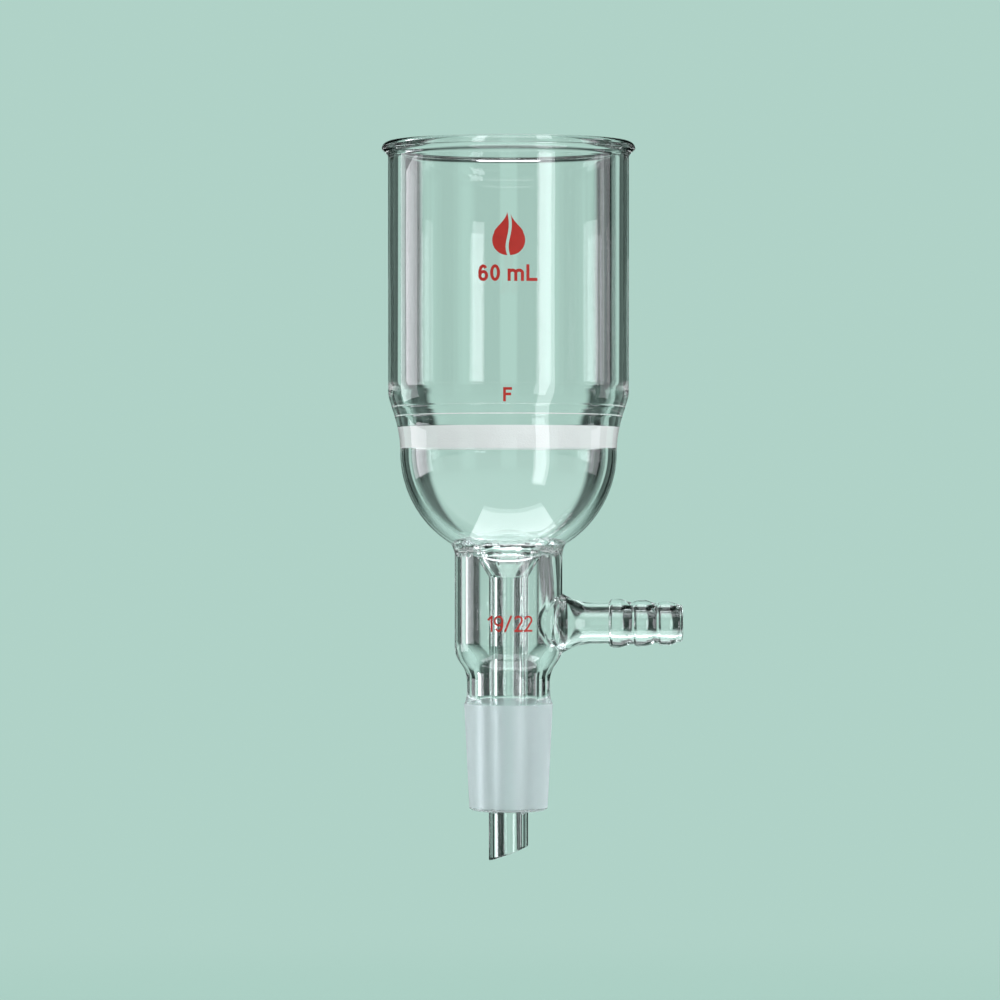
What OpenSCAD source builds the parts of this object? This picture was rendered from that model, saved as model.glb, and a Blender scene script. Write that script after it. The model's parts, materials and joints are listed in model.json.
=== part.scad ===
// Fritted-disc Buchner funnel with a vacuum side arm and a 19/22 ground cone.
// Millimetres, +Z up the funnel's axis. The origin is the centre of the ground
// cone's large end, which is the gauge plane of a standard taper joint.

/* [Bowl] */
// Outside diameter of the barrel tube
barrel_od = 51; // [47:0.5:62]
// Wall of the barrel tube
barrel_wall = 2.8; // [1.8:0.1:3.4]
// Length of the straight barrel, from the disc collar to the flare of the rim
barrel_len = 49.4; // [20:0.1:120]
// How far the rim stands out past the barrel
rim_reach = 1.35; // [0.6:0.05:3]
// Height of the rim's round bead above the flare
rim_bead_h = 1.7; // [1:0.1:3]
// Height of the flare under the bead
rim_flare_h = 2; // [1:0.1:5]

/* [Fritted disc] */
// Diameter of the sintered disc
disc_d = 40.4; // [33:0.1:43]
// Thickness of the sintered disc
disc_t = 5.1; // [2.5:0.1:7]
// Glass around the disc, where the collar is narrowest
collar_wall = 2.75; // [1.8:0.05:4]
// Height of the collar's clear wall above the disc, up to the inside shelf
collar_lip_h = 2; // [1:0.1:6]
// Height of the collar's straight inside wall, from the shelf's curve up to the barrel
collar_land_h = 2.2; // [0.5:0.1:8]

/* [Dome and outlet] */
// Wall of the round bottom
dome_wall = 2.3; // [1.4:0.1:3]
// Outside diameter of the outlet cone where it leaves the dome
outlet_od = 13.8; // [11:0.1:15]
// Height of the outlet cone below the dome
outlet_h = 4.5; // [2:0.1:8]

/* [Drip stem] */
// Outside diameter of the stem tube
stem_od = 8.3; // [6.6:0.1:10]
// Bore of the stem tube
stem_bore = 5.2; // [2:0.1:5.4]
// How far the stem's long side reaches below the gauge plane
stem_drop = 33.3; // [26:0.1:80]
// Slant of the drip tip, from level
tip_angle = 20.5; // [0:0.5:60]

/* [Vacuum jacket] */
// Outside diameter of the jacket tube
jacket_od = 22.8; // [21:0.1:28]
// Wall of the jacket tube
jacket_wall = 2.4; // [1.4:0.1:2.8]
// Length of the jacket, from the neck up to the ring seal
jacket_len = 26.6; // [25:0.1:60]
// Height of the jacket's round shoulder above the neck
shoulder_h = 7.6; // [5:0.1:10]
// Height of the ring of solid glass that seals the jacket to the dome
seal_h = 2.1; // [1:0.1:4]
// How far the ring seal spreads on to the dome past the jacket
seal_spread = 0.9; // [0.3:0.05:2]

/* [Ground cone] */
// Diameter of the cone's large end
joint_d = 18.8; // [18.8:0.1:19.4]
// Length of the ground surface
joint_len = 22; // [12:1:40]
// Bore of the joint and of its neck
joint_bore = 12.2; // [11:0.1:13]
// Outside diameter of the neck above the cone
neck_od = 17.6; // [16.4:0.1:18.2]
// Height of the neck above the gauge plane
neck_h = 4.6; // [3:0.1:12]
// Height of the clear bevelled end below the ground surface
cone_end_h = 0.7; // [0.4:0.05:2]

/* [Side arm] */
// Height of the arm's axis above the gauge plane
arm_z = 17; // [15.5:0.1:19]
// Outside diameter of the arm's plain shank
arm_od = 8.7; // [7.2:0.1:9.6]
// Bore of the arm and of the nozzle
arm_bore = 5.4; // [2:0.1:5.6]
// Diameter of the flare where it meets the jacket's wall
flare_d = 18.4; // [17:0.1:19]
// Diameter of the blown hole in the jacket that the arm opens from
arm_hole_d = 9.2; // [7:0.1:10]
// Distance from the jacket's wall to the end of the flare
flare_reach = 6.2; // [4.5:0.1:9]
// Length of the plain shank between the flare and the nozzle
shank_len = 3.7; // [1:0.1:12]
// Number of barbs on the hose nozzle
barb_count = 3; // [1:1:5]
// Distance from one barb to the next
barb_pitch = 5.2; // [4:0.1:8]
// Diameter over the first barb
barb_d = 10.4; // [9.8:0.1:12]
// How much smaller each next barb is
barb_step = 0.5; // [0:0.05:0.6]
// How much narrower a barb's tail is than its ridge
barb_fall = 1.5; // [0.8:0.05:2]

/* [Printed marks] */
// Thickness of the fired enamel
enamel_t = 0.08; // [0.04:0.01:0.2]
// Cap height of the capacity mark
capacity_cap = 3.45; // [2:0.05:6]
// Height of the capacity mark's baseline above the collar
capacity_z = 22.7; // [15:0.1:30]
// Height of the drop emblem
emblem_h = 8.9; // [5:0.1:12]
// Cap height of the porosity mark
porosity_cap = 2.95; // [2:0.05:4]
// Cap height of the joint-size mark
size_cap = 3.4; // [2:0.05:4]

/* [Hidden] */

$fn = 96;
cut = 1;                 // how far a cutting solid runs past what it cuts
joint_taper = 10;        // length over which a standard cone's diameter changes by one
arc_steps = 14;          // straight steps in a profile's curve

barrel_r = barrel_od / 2;
barrel_in = barrel_r - barrel_wall;
disc_r = disc_d / 2;
shelf_r = barrel_in - disc_r;   // the shelf's curve, from the disc's wall out to the barrel's
dome_r = disc_r + collar_wall;
dome_in = dome_r - dome_wall;
jacket_r = jacket_od / 2;
jacket_in = jacket_r - jacket_wall;
stem_r = stem_od / 2;
stem_in = stem_bore / 2;
neck_r = neck_od / 2;
joint_r = joint_d / 2;
joint_in = joint_bore / 2;
cone_small_r = joint_r - joint_len / joint_taper / 2;
arm_r = arm_od / 2;
arm_in = arm_bore / 2;
flare_r = flare_d / 2;
outlet_r = outlet_od / 2;
outlet_wall = stem_r - stem_in;

// Heights, from the gauge plane up
jacket_top = neck_h + jacket_len;
dome_z = jacket_top + seal_h + sqrt(pow(dome_r, 2) - pow(jacket_r, 2));
outlet_top = dome_z - sqrt(pow(dome_r, 2) - pow(outlet_r, 2));
outlet_bottom = outlet_top - outlet_h;
disc_seat_gap = 1;       // between the dome's equator and the disc's lower face
disc_z = dome_z + disc_seat_gap;
disc_top = disc_z + disc_t;
shelf_z = disc_top + collar_lip_h;
collar_top = shelf_z + shelf_r + collar_land_h;
flare_z = collar_top + barrel_len;
bead_z = flare_z + rim_flare_h;
rim_top = bead_z + rim_bead_h;

// Distances out along the side arm, from the funnel's axis
flare_end = jacket_r + flare_reach;
flare_foot = sqrt(pow(jacket_r, 2) - pow(flare_r, 2)) - 0.4;
nozzle_start = flare_end + shank_len;
nozzle_end = nozzle_start + barb_count * barb_pitch;

function bezier(a, b, c, d, steps = arc_steps) = [for (i = [0:steps]) let (t = i / steps, s = 1 - t)
    s * s * s * a + 3 * s * s * t * b + 3 * s * t * t * c + t * t * t * d];
function arc(centre, rx, ry, from, to, steps = arc_steps) = [for (i = [0:steps])
    let (a = from + (to - from) * i / steps) centre + [rx * cos(a), ry * sin(a)]];

module tube(outer, inner, length) {
    difference() {
        cylinder(r = outer, h = length);
        translate([0, 0, -cut]) cylinder(r = inner, h = length + 2 * cut);
    }
}

// Turns a solid that stands on the XY plane to lie along the side arm's axis
module along_arm() {
    translate([0, 0, arm_z]) rotate([0, 90, 0]) children();
}

// ---- Bowl ----

rim_inset = (barrel_wall + rim_reach) / 2;   // from the bead's outside to its crown

module bowl_barrel() {
    crown_r = barrel_r + rim_reach - rim_inset;
    inner_r = crown_r - barrel_in;
    color("azure", 0.4) rotate_extrude() polygon(concat(
        [[barrel_in, collar_top], [barrel_r, collar_top]],
        bezier([barrel_r, flare_z], [barrel_r, flare_z + rim_flare_h / 2],
            [barrel_r + rim_reach, bead_z - rim_flare_h / 3], [barrel_r + rim_reach, bead_z]),
        arc([crown_r, bead_z], rim_inset, rim_bead_h, 0, 90),
        arc([crown_r, bead_z], inner_r, rim_bead_h, 90, 180)));
}

// Outline of the bowl's outside, from the dome's widest point up to the barrel
collar_outline = bezier([dome_r, dome_z], [dome_r, dome_z + (collar_top - dome_z) * 0.49],
    [barrel_r, collar_top - (collar_top - dome_z) * 0.2], [barrel_r, collar_top]);

module disc_collar() {
    color("azure", 0.4) rotate_extrude() polygon(concat(
        [[dome_in, dome_z]],
        collar_outline,
        [[barrel_in, collar_top]],
        arc([disc_r, shelf_z + shelf_r], shelf_r, shelf_r, 0, -90),
        [[disc_r, disc_z], [dome_in, disc_z]]));
}

module frit_disc() {
    color("white") translate([0, 0, disc_z]) cylinder(r = disc_r, h = disc_t);
}

// ---- Dome, outlet and stem ----

module dome_outside() {
    intersection() {
        translate([0, 0, dome_z]) sphere(r = dome_r);
        cylinder(r = dome_r + cut, h = dome_z);
    }
}

module bowl_dome() {
    cone_in_r = outlet_r - outlet_wall;
    color("azure", 0.4) difference() {
        union() {
            dome_outside();
            translate([0, 0, outlet_bottom])
                cylinder(r1 = stem_r, r2 = outlet_r, h = outlet_h);
        }
        translate([0, 0, dome_z]) sphere(r = dome_in);
        translate([0, 0, outlet_bottom]) cylinder(r1 = stem_in, r2 = cone_in_r, h = outlet_h);
        translate([0, 0, outlet_top]) cylinder(r = cone_in_r, h = dome_in);
        translate([0, 0, outlet_bottom - cut]) cylinder(r = stem_in, h = 2 * cut);
    }
}

module drip_stem() {
    tip_rise = stem_od * tan(tip_angle);
    color("azure", 0.4) difference() {
        translate([0, 0, -stem_drop]) tube(stem_r, stem_in, outlet_bottom + stem_drop);
        translate([-stem_r, 0, -stem_drop]) rotate([0, -tip_angle, 0])
            translate([-stem_od, -stem_od, -stem_od - tip_rise])
                cube([4 * stem_od, 2 * stem_od, stem_od + tip_rise]);
    }
}

// ---- Vacuum jacket and ground cone ----

// Outline of the jacket's shoulder between the neck's radius and the tube's
function shoulder(tube_r, throat_r, top, bottom) = let (pull = (top - bottom) / 2)
    bezier([tube_r, top], [tube_r, top - pull], [throat_r, bottom + pull], [throat_r, bottom]);

module jacket_outside() {
    rotate_extrude() polygon(concat(
        [[0, jacket_top], [jacket_r, jacket_top]],
        shoulder(jacket_r, neck_r, neck_h + shoulder_h, neck_h),
        [[0, neck_h]]));
}

module vacuum_jacket() {
    color("azure", 0.4) difference() {
        jacket_outside();
        rotate_extrude() polygon(concat(
            [[0, jacket_top + cut], [jacket_in, jacket_top + cut]],
            shoulder(jacket_in, joint_in, neck_h + shoulder_h + jacket_wall / 2,
                neck_h + jacket_wall / 2),
            [[joint_in, neck_h - cut], [0, neck_h - cut]]));
        along_arm() cylinder(r = arm_hole_d / 2, h = jacket_r + cut);
    }
}

module ring_seal() {
    spread_r = jacket_r + seal_spread;
    spread_z = dome_z - sqrt(pow(dome_r, 2) - pow(spread_r, 2));
    color("azure", 0.4) difference() {
        rotate_extrude() polygon(concat(
            [[jacket_in, jacket_top]],
            bezier([jacket_r, jacket_top], [jacket_r, jacket_top + seal_h / 2],
                [spread_r - seal_spread / 2, spread_z - seal_spread / 2], [spread_r, spread_z]),
            [[jacket_in, spread_z]]));
        dome_outside();
    }
}

module cone_joint() {
    end_r = (cone_small_r + joint_in) / 2;
    neck_fillet = neck_h / 2;
    color("white", 0.7) rotate_extrude() polygon(concat(
        [[joint_in, neck_h]],
        bezier([neck_r, neck_h], [neck_r, neck_h - neck_fillet],
            [neck_r, neck_fillet / 3], [joint_r, 0]),
        bezier([cone_small_r, -joint_len], [cone_small_r, -joint_len - cone_end_h / 2],
            [end_r + cone_end_h / 2, -joint_len - cone_end_h], [end_r, -joint_len - cone_end_h]),
        [[joint_in, -joint_len - cone_end_h]]));
}

// ---- Side arm ----

module side_arm() {
    hole_r = arm_hole_d / 2;
    color("azure", 0.4) difference() {
        along_arm() rotate_extrude() polygon(concat(
            [[hole_r, flare_foot], [flare_r, flare_foot]],
            bezier([flare_r, flare_foot], [arm_r + 2.2, jacket_r + 0.2],
                [arm_r + 0.15, jacket_r + 1.8], [arm_r, flare_end]),
            [[arm_r, nozzle_start], [arm_in, nozzle_start]],
            bezier([arm_in, flare_end - 0.6], [arm_in, jacket_r + flare_reach / 2],
                [hole_r, jacket_r + flare_reach / 5], [hole_r, jacket_r])));
        jacket_outside();
    }
}

nozzle_round = 0.6;      // rounding of the nozzle's fire-polished end

// One barb's outline, from its step to its tail
function barb(i) = let (
        start = nozzle_start + i * barb_pitch,
        end = start + barb_pitch - (i == barb_count - 1 ? nozzle_round : 0),
        ridge = barb_d / 2 - i * barb_step / 2,
        tail = ridge - barb_fall / 2,
        root = i == 0 ? arm_r : ridge - barb_fall / 3)
    concat(
        bezier([root, start], [ridge, start + barb_pitch / 20],
            [ridge, start + barb_pitch / 8], [ridge, start + barb_pitch / 4], 8),
        bezier([ridge, start + barb_pitch * 0.4], [ridge, start + barb_pitch * 0.6],
            [tail, start + barb_pitch * 0.75], [tail, end], 8));

module hose_nozzle() {
    tip_r = barb_d / 2 - (barb_count - 1) * barb_step / 2 - barb_fall / 2;
    color("azure", 0.4) difference() {
        along_arm() rotate_extrude() polygon(concat(
            [[0, nozzle_start]],
            [for (i = [0:barb_count - 1]) each barb(i)],
            bezier([tip_r, nozzle_end - nozzle_round], [tip_r, nozzle_end - nozzle_round / 3],
                [tip_r - nozzle_round / 3, nozzle_end], [tip_r - nozzle_round, nozzle_end], 6),
            [[0, nozzle_end]]));
        along_arm() cylinder(r = arm_in, h = nozzle_end + cut);
    }
}

// ---- Printed marks ----

// Outline of a pen stroke of width w along a path
function side_of(path, i, w) = let (
        n = len(path) - 1,
        d = path[min(i + 1, n)] - path[max(i - 1, 0)])
    path[i] + w / 2 / norm(d) * [-d[1], d[0]];
function stroke(path, w) = concat(
    [for (i = [0:len(path) - 1]) side_of(path, i, w)],
    [for (i = [len(path) - 1:-1:0]) side_of(path, i, -w)]);

// Bends a flat outline so that it lies true on a tube of radius r when seen from the front
function wrap(points, r) = [for (p = points) [r * sin(p[0] / r * 180 / PI), p[1]]];

// A thin skin on the outside of the jacket, or of the bowl's collar and barrel
module skin(r) {
    if (r < barrel_r) tube(r + enamel_t, r, jacket_top);
    else rotate_extrude() polygon(concat(
        collar_outline,
        [[barrel_r, flare_z], [barrel_r + enamel_t, flare_z]],
        [for (i = [arc_steps:-1:0]) collar_outline[i] + [enamel_t, 0]]));
}

// Cuts a solid of fired enamel out of the front of that skin
module enamel(points, r, z) {
    intersection() {
        translate([0, 0, z]) rotate([90, 0, 0]) linear_extrude(r + cut) polygon(wrap(points, r));
        skin(r);
    }
}

// A closed loop of a letter, as the ring between two ellipses
module enamel_loop(centre, rx, ry, w, r, z) {
    steps = 40;
    difference() {
        enamel(arc(centre, rx + w / 2, ry + w / 2, 360 / steps, 360, steps - 1), r, z);
        translate([0, 0, z]) rotate([90, 0, 0]) linear_extrude(r + 2 * cut)
            polygon(wrap(arc(centre, rx - w / 2, ry - w / 2, 360 / steps, 360, steps - 1), r));
    }
}

// Letters and figures: x is the left edge, cap the height, w the pen's width
module write_bar(x0, y0, x1, y1, w, r, z) {
    enamel(stroke([[x0, y0], [(x0 + x1) / 2, (y0 + y1) / 2], [x1, y1]], w), r, z);
}
module write_zero(x, cap, w, r, z) {
    enamel_loop([x + 0.3 * cap, cap / 2], 0.3 * cap - w / 2, cap / 2 - w / 2, w, r, z);
}
module write_six(x, cap, w, r, z, turn = 0) {
    middle = [x + 0.3 * cap, cap / 2];
    flip = turn ? -1 : 1;
    bowl_ry = 0.33 * cap - w / 2;
    rx = 0.3 * cap - w / 2;
    enamel_loop(middle - flip * [0, cap / 2 - w / 2 - bowl_ry], rx, bowl_ry, w, r, z);
    enamel(stroke([for (p = arc([0, 0], rx, cap / 2 - w / 2, 42, 200)) middle + flip * p], w), r, z);
}
module write_m(x, cap, w, r, z) {
    x_height = 0.74 * cap;
    arch = 0.2 * cap;
    write_bar(x + w / 2, 0, x + w / 2, x_height, w, r, z);
    for (leg = [0:1]) {
        left = x + w / 2 + leg * 2 * arch;
        enamel(stroke(concat(arc([left + arch, x_height - w / 2 - arch * 0.8], arch, arch * 0.8, 170, 0),
            [[left + 2 * arch, 0]]), w), r, z);
    }
}
module write_L(x, cap, w, r, z) {
    write_bar(x + w / 2, 0, x + w / 2, cap, w, r, z);
    write_bar(x + w / 2, w / 2, x + 0.68 * cap, w / 2, w, r, z);
}
module write_F(x, cap, w, r, z) {
    write_bar(x + w / 2, 0, x + w / 2, cap, w, r, z);
    write_bar(x + w / 2, cap - w / 2, x + 0.62 * cap, cap - w / 2, w, r, z);
    write_bar(x + w / 2, cap * 0.52, x + 0.56 * cap, cap * 0.52, w, r, z);
}
module write_one(x, cap, w, r, z) {
    write_bar(x + 0.3 * cap, 0, x + 0.3 * cap, cap, w, r, z);
    write_bar(x + 0.06 * cap, 0.72 * cap, x + 0.3 * cap, cap - w / 2, w, r, z);
}
module write_two(x, cap, w, r, z) {
    rx = 0.22 * cap;
    top = cap - w / 2;
    enamel(stroke(concat(arc([x + rx + w / 2, top - rx], rx, rx, 165, -25),
        [[x + w / 2 + 0.06 * cap, w / 2]]), w), r, z);
    write_bar(x, w / 2, x + 2 * rx + w, w / 2, w, r, z);
}
module write_slash(x, cap, w, r, z) {
    write_bar(x, 0, x + 0.4 * cap, cap, w, r, z);
}

pen_bold = 0.19;         // the pen's width as a share of the cap height
pen_fine = 0.11;

module capacity_mark() {
    z = collar_top + capacity_z;
    w = pen_bold * capacity_cap;
    left = -1.84 * capacity_cap;
    color("firebrick") {
        write_six(left, capacity_cap, w, barrel_r, z);
        write_zero(left + 0.72 * capacity_cap, capacity_cap, w, barrel_r, z);
        write_m(left + 1.77 * capacity_cap, capacity_cap, w, barrel_r, z);
        write_L(left + 2.9 * capacity_cap, capacity_cap, w, barrel_r, z);
    }
}

// A plain liquid drop, split by a curved gap
module emblem_mark() {
    z = collar_top + capacity_z + capacity_cap * 1.55;
    drop_r = emblem_h * 0.35;
    gap = emblem_h * 0.07;
    swing = emblem_h * 0.13;
    tip = [0, emblem_h];
    side = 28;           // where the drop's round part meets its straight flank
    // The gap's middle line, from the foot to the tip
    line = bezier([0, 0], [-swing, emblem_h / 3], [swing, emblem_h / 2], tip);
    right = concat([for (p = line) p + [gap / 2, 0]],
        bezier(tip + [gap / 2, 0], tip + [gap, -emblem_h * 0.22],
            [drop_r * cos(side) + gap / 2, drop_r * (1.35 + sin(side))],
            [drop_r * cos(side) + gap / 2, drop_r * (1 + sin(side))]),
        [for (p = arc([gap / 2, drop_r], drop_r, drop_r, side - 6, -84)) p]);
    left = concat([for (p = line) p - [gap / 2, 0]],
        bezier(tip - [gap / 2, 0], tip - [gap, emblem_h * 0.22],
            [-drop_r * cos(side) - gap / 2, drop_r * (1.35 + sin(side))],
            [-drop_r * cos(side) - gap / 2, drop_r * (1 + sin(side))]),
        [for (p = arc([-gap / 2, drop_r], drop_r, drop_r, 186 - side, 264)) p]);
    color("firebrick") {
        enamel(right, barrel_r, z);
        enamel(left, barrel_r, z);
    }
}

module porosity_mark() {
    z = collar_top - collar_land_h;
    color("firebrick") write_F(-0.39 * porosity_cap, porosity_cap, pen_bold * porosity_cap, barrel_r, z);
}

module joint_size_mark() {
    z = arm_z - size_cap * 0.42;
    w = pen_fine * size_cap * 1.1;
    color("firebrick") {
        write_one(-1.37 * size_cap, size_cap, w, jacket_r, z);
        write_six(-0.92 * size_cap, size_cap, w, jacket_r, z, turn = 1);
        write_slash(-0.23 * size_cap, size_cap, w, jacket_r, z);
        write_two(0.33 * size_cap, size_cap, w, jacket_r, z);
        write_two(0.96 * size_cap, size_cap, w, jacket_r, z);
    }
}

bowl_barrel();
disc_collar();
frit_disc();
bowl_dome();
ring_seal();
drip_stem();
vacuum_jacket();
cone_joint();
side_arm();
hose_nozzle();
emblem_mark();
capacity_mark();
porosity_mark();
joint_size_mark();
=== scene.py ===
"""Looks for a fritted glass filter funnel.

The file is laid out as a Blender add-on and is run as a script. Each operator makes one
piece of the funnel, or the stage round it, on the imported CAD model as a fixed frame.
Every length is in metres, with +Z up the funnel's axis and the origin at the centre of
the ground cone's large end.
"""

import json
import math

import bmesh
import bpy
from mathutils import Matrix, Vector, noise


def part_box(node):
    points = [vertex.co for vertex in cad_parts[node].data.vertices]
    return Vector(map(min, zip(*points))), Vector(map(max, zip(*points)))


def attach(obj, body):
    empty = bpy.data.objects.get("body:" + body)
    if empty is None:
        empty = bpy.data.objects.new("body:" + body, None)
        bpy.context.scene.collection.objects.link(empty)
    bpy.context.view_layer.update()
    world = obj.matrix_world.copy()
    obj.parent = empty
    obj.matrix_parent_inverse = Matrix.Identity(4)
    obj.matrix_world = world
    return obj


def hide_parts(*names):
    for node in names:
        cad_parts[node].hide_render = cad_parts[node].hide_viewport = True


bl_info = {
    "name": "Fritted Filter Funnel",
    "version": (1, 0, 0),
    "blender": (4, 5, 0),
    "location": "View3D > Sidebar > Funnel",
    "description": "Glass, sintered disc, ground cone and printed marks of a filter funnel",
    "category": "Object",
}

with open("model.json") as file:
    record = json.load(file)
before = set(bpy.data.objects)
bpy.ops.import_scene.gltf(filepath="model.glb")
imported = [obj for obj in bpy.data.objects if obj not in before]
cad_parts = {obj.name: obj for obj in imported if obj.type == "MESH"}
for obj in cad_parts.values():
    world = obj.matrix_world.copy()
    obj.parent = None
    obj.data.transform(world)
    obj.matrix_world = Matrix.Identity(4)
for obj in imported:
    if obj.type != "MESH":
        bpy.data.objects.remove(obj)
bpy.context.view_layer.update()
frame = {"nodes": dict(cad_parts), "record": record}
BODY = "root"
MOUNTS = {m["name"]: m for m in frame["record"]["mounts"]}
MARKS = ("emblem_mark", "capacity_mark", "porosity_mark", "joint_size_mark")


def mount_radius(name):
    return MOUNTS[name]["dims"]["r_mm"] / 1000


def low(node):
    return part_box(node)[0]


def high(node):
    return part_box(node)[1]


# Radii and heights that several pieces share, read from the frame's boxes and mounts
BARREL_R = high("disc_collar").x
BARREL_BORE_R = mount_radius("bowl_mouth")
DISC_R = high("frit_disc").x
DOME_R = high("bowl_dome").x
DOME_Z = high("bowl_dome").z
COLLAR_TOP = high("disc_collar").z
JACKET_R = high("vacuum_jacket").x
JACKET_TOP = high("vacuum_jacket").z
SEAL_R = high("ring_seal").x
STEM_R = high("drip_stem").x
STEM_BORE_R = mount_radius("stem_outlet")
NECK_TOP = low("vacuum_jacket").z
CONE_R = mount_radius("ground_cone")
CONE_LENGTH = MOUNTS["ground_cone"]["dims"]["length_mm"] / 1000
ARM_Z = MOUNTS["vacuum_port"]["pos_m"][2]
ARM_BORE_R = mount_radius("vacuum_port")
NOZZLE_START = low("hose_nozzle").x
NOZZLE_END = high("hose_nozzle").x
SHELF_R = BARREL_BORE_R - 0.00032  # inside radius of the collar where it meets the barrel
SHELF_SLOPE = 0.26  # radius lost for each length down, at that place


# ---- Settings ----


class FunnelGlass(bpy.types.PropertyGroup):
    turn_steps: bpy.props.IntProperty(
        name="Turn steps", description="Flat sides round a turned piece of glass",
        default=144, min=48, max=256)
    dome_wall: bpy.props.FloatProperty(
        name="Dome wall", description="Wall of the round bottom",
        default=0.0023, min=0.001, max=0.003, unit="LENGTH")
    jacket_wall: bpy.props.FloatProperty(
        name="Jacket wall", description="Wall of the vacuum jacket",
        default=0.0024, min=0.001, max=0.0028, unit="LENGTH")
    shoulder_height: bpy.props.FloatProperty(
        name="Shoulder height", description="Height of the jacket's shoulder above the neck",
        default=0.0076, min=0.004, max=0.012, unit="LENGTH")
    joint_bore_radius: bpy.props.FloatProperty(
        name="Joint bore radius", description="Bore radius of the ground cone and its neck",
        default=0.0061, min=0.005, max=0.0065, unit="LENGTH")
    neck_radius: bpy.props.FloatProperty(
        name="Neck radius", description="Outside radius of the neck above the cone",
        default=0.0088, min=0.0082, max=0.0091, unit="LENGTH")
    outlet_radius: bpy.props.FloatProperty(
        name="Outlet radius", description="Outside radius of the outlet cone at the dome",
        default=0.0069, min=0.005, max=0.0075, unit="LENGTH")
    outlet_height: bpy.props.FloatProperty(
        name="Outlet height", description="Height of the outlet cone below the dome",
        default=0.0045, min=0.002, max=0.008, unit="LENGTH")
    tint: bpy.props.FloatVectorProperty(
        name="Glass tint", description="What one pass through the surface leaves of white light",
        subtype="COLOR", size=3, default=(0.988, 0.994, 0.992), min=0, max=1)
    ground_tint: bpy.props.FloatVectorProperty(
        name="Ground tint", description="Colour of the frosted cone",
        subtype="COLOR", size=3, default=(0.82, 0.87, 0.9), min=0, max=1)
    ground_roughness: bpy.props.FloatProperty(
        name="Ground roughness", description="Roughness of the frosted cone",
        subtype="FACTOR", default=0.42, min=0, max=1)


class FunnelArm(bpy.types.PropertyGroup):
    shank_radius: bpy.props.FloatProperty(
        name="Shank radius", description="Outside radius of the side arm's plain shank",
        default=0.00435, min=0.003, max=0.005, unit="LENGTH")
    flare_radius: bpy.props.FloatProperty(
        name="Flare radius", description="Radius of the flare at the jacket's wall",
        default=0.0092, min=0.008, max=0.0095, unit="LENGTH")
    flare_reach: bpy.props.FloatProperty(
        name="Flare reach", description="Distance from the jacket's wall to the flare's end",
        default=0.0062, min=0.004, max=0.009, unit="LENGTH")
    hole_radius: bpy.props.FloatProperty(
        name="Hole radius", description="Radius of the blown hole in the jacket",
        default=0.0046, min=0.003, max=0.005, unit="LENGTH")
    barbs: bpy.props.IntProperty(
        name="Barbs", description="Number of barbs on the nozzle", default=3, min=1, max=5)
    barb_radius: bpy.props.FloatProperty(
        name="Barb radius", description="Radius over the first barb",
        default=0.0052, min=0.0045, max=0.006, unit="LENGTH")
    barb_step: bpy.props.FloatProperty(
        name="Barb step", description="How much smaller each next barb's radius is",
        default=0.00025, min=0, max=0.0005, unit="LENGTH")
    barb_fall: bpy.props.FloatProperty(
        name="Barb fall", description="How much a barb's radius falls from ridge to tail",
        default=0.00075, min=0.0004, max=0.001, unit="LENGTH")


class FunnelFinish(bpy.types.PropertyGroup):
    disc_colour: bpy.props.FloatVectorProperty(
        name="Disc colour", description="Colour of the sintered glass disc",
        subtype="COLOR", size=3, default=(0.86, 0.88, 0.87), min=0, max=1)
    enamel_colour: bpy.props.FloatVectorProperty(
        name="Enamel colour", description="Colour of the fired marks",
        subtype="COLOR", size=3, default=(0.42, 0.018, 0.011), min=0, max=1)


class FunnelStage(bpy.types.PropertyGroup):
    backdrop_colour: bpy.props.FloatVectorProperty(
        name="Backdrop colour", description="Pale colour of the backdrop and floor",
        subtype="COLOR", size=3, default=(0.435, 0.645, 0.575), min=0, max=1)
    floor_gap: bpy.props.FloatProperty(
        name="Floor gap", description="Free height under the drip tip",
        default=0.1, min=0, max=1, unit="LENGTH")
    floor_radius: bpy.props.FloatProperty(
        name="Floor radius", description="Radius at which the floor has faded into the backdrop",
        default=0.9, min=0.3, max=5, unit="LENGTH")
    lamp_colour: bpy.props.FloatVectorProperty(
        name="Lamp colour", description="Colour of the soft lamps",
        subtype="COLOR", size=3, default=(0.94, 0.96, 1.0), min=0, max=1)
    camera_distance: bpy.props.FloatProperty(
        name="Camera distance", description="Distance from the camera to the funnel's axis",
        default=1.1, min=0.3, max=5, unit="LENGTH")


# ---- Outlines: lists of (radius, height) ----


def bezier(a, b, c, d, steps=14):
    """A curve from a to d that leaves towards b and arrives from c."""
    out = []
    for i in range(steps + 1):
        t = i / steps
        s = 1 - t
        k = (s * s * s, 3 * s * s * t, 3 * s * t * t, t * t * t)
        out.append(tuple(sum(w * p[j] for w, p in zip(k, (a, b, c, d))) for j in (0, 1)))
    return out


def arc(centre, rx, ry, start, end, steps=14):
    """Part of an ellipse, from one angle to another, in degrees."""
    out = []
    for i in range(steps + 1):
        a = math.radians(start + (end - start) * i / steps)
        out.append((centre[0] + rx * math.cos(a), centre[1] + ry * math.sin(a)))
    return out


def dome_height(sphere_r, r):
    """Height of the underside of the round bottom, at a distance from the axis."""
    return DOME_Z - math.sqrt(sphere_r**2 - r**2)


def dome_arc(sphere_r, r_from, r_to, steps):
    """The underside of the round bottom between two radii, as even steps of angle."""
    start, end = (-math.degrees(math.acos(r / sphere_r)) for r in (r_from, r_to))
    return arc((0, DOME_Z), sphere_r, sphere_r, start, end, steps)


# ---- Meshes ----

CLEAR, FUSED, GROUND = 0, 1, 2  # material slots of every turned piece
SHARP = 38  # degrees between two faces from which their edge is sharp
ARM_STEPS = 96  # flat sides round the side arm and its tools


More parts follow.
